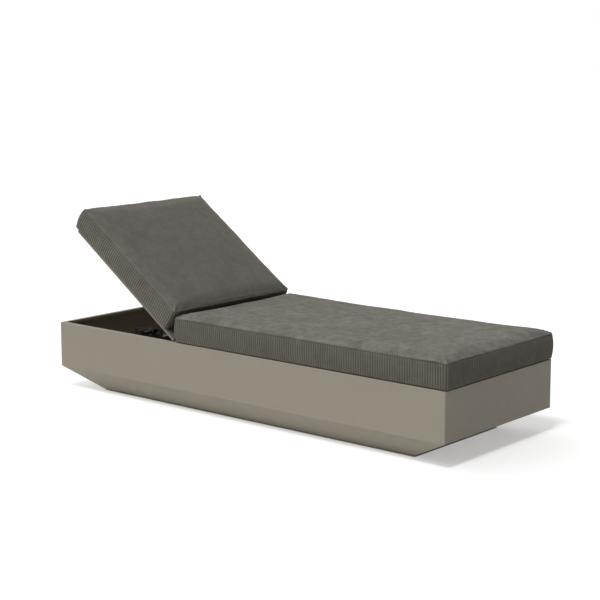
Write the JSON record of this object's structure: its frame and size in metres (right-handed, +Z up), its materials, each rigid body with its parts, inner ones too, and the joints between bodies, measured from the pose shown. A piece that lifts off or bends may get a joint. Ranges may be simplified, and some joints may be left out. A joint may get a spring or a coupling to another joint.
{
  "type": "spa relaxation lounger",
  "caption": "Low spa relaxation lounger: tapered powder-coated shell base, seat cushion on a fixed deck and a hinged cushioned backrest on a sliding prop.",
  "frame": {"origin": "on the floor under the middle of the base's footprint", "axes": "+X along the length towards the foot end, +Y across the width, +Z up"},
  "size_m": [2.0047, 0.7096, 0.78],
  "materials": {
    "shell_paint": "matt powder coat, warm grey",
    "board_face": "compact laminate, warm grey",
    "galvanised_tube": "plain aluminium tube",
    "dark_steel": "black coated steel",
    "bright_steel": "stainless steel",
    "black_plastic": "black plastic",
    "black_rubber": "black rubber",
    "brass": "plain brass",
    "cover_cloth": "ribbed woven cloth, grey brown",
    "foam": "upholstery foam",
    "tape_cloth": "woven tape, near black"
  },
  "bodies": {
    "base": {"side_panel_near": "shell_paint", "side_panel_far": "shell_paint", "head_panel": "shell_paint", "foot_panel": "shell_paint", "base_plate": "shell_paint", "base_rivets": "bright_steel", "glides": "black_plastic", "glide_screws": "bright_steel", "glide_nuts": "bright_steel", "side_rails": "galvanised_tube", "deck_bars": "galvanised_tube", "deck_bar_screws": "bright_steel", "cross_members": "galvanised_tube", "seat_deck": "board_face", "deck_screws": "bright_steel", "tube_caps": "black_plastic", "guide_near": "dark_steel", "guide_far": "dark_steel", "guide_bolts": "bright_steel", "guide_nuts": "bright_steel", "hinge_seat_leaves": "bright_steel", "hinge_seat_screws": "bright_steel", "hinge_pins": "bright_steel", "seat_hook_strips": "tape_cloth", "seat_loop_strips": "tape_cloth", "seat_cover": "cover_cloth", "seat_core": "foam", "seat_zip": "tape_cloth"},
    "backrest": {"back_board": "board_face", "hinge_back_leaves": "bright_steel", "hinge_back_screws": "bright_steel", "prop_brackets": "bright_steel", "bracket_screws": "bright_steel", "pivot_pins": "bright_steel", "pivot_rings": "dark_steel", "rest_pads": "black_rubber", "back_hook_strips": "tape_cloth", "back_loop_strips": "tape_cloth", "back_cover": "cover_cloth", "back_core": "foam", "back_zip": "tape_cloth"},
    "prop": {"prop_legs": "dark_steel", "foot_bar": "bright_steel", "slide_bushes": "black_plastic", "clamp_washers": "bright_steel", "clamp_sleeves": "bright_steel"},
    "near_knob": {"knob_near": "black_plastic", "knob_insert_near": "brass"},
    "far_knob": {"knob_far": "black_plastic", "knob_insert_far": "brass"},
    "seat_slider": {"seat_zip_slider": "bright_steel"},
    "seat_pull": {"seat_zip_pull": "bright_steel"},
    "back_slider": {"back_zip_slider": "bright_steel"},
    "back_pull": {"back_zip_pull": "bright_steel"}
  },
  "joints": [
    {"name": "backrest_hinge", "type": "hinge", "parent": "base", "child": "backrest", "pos_m": [-0.317, 0, 0.298], "axis": [0, 1, 0], "range_deg": [-35.5, 8.5]},
    {"name": "prop_pivot", "type": "hinge", "parent": "backrest", "child": "prop", "pos_m": [-0.50231, 0, 0.3964], "axis": [0, 1, 0], "range_deg": [-17, 71]},
    {"name": "near_knob_turn", "type": "hinge", "parent": "prop", "child": "near_knob", "pos_m": [-0.65567, 0, 0.25322], "axis": [0, -1, 0], "range_deg": [-360, 0]},
    {"name": "far_knob_turn", "type": "hinge", "parent": "prop", "child": "far_knob", "pos_m": [-0.65567, 0, 0.25322], "axis": [0, 1, 0], "range_deg": [-360, 0]},
    {"name": "seat_zip_slide", "type": "slide", "parent": "base", "child": "seat_slider", "axis": [0, -1, 0], "range_m": [0, 0.536]},
    {"name": "seat_pull_hinge", "type": "hinge", "parent": "seat_slider", "child": "seat_pull", "pos_m": [-0.3125, 0.268, 0.3435], "axis": [0, 1, 0], "range_deg": [0, 160]},
    {"name": "back_zip_slide", "type": "slide", "parent": "backrest", "child": "back_slider", "axis": [0, -1, 0], "range_m": [0, 0.536]},
    {"name": "back_pull_hinge", "type": "hinge", "parent": "back_slider", "child": "back_pull", "pos_m": [-0.86819, 0.268, 0.74705], "axis": [0, 1, 0], "range_deg": [0, 160]}
  ],
  "couplings": [
    {"joint": "prop_pivot", "follows": "backrest_hinge", "ratio": -2}
  ]
}
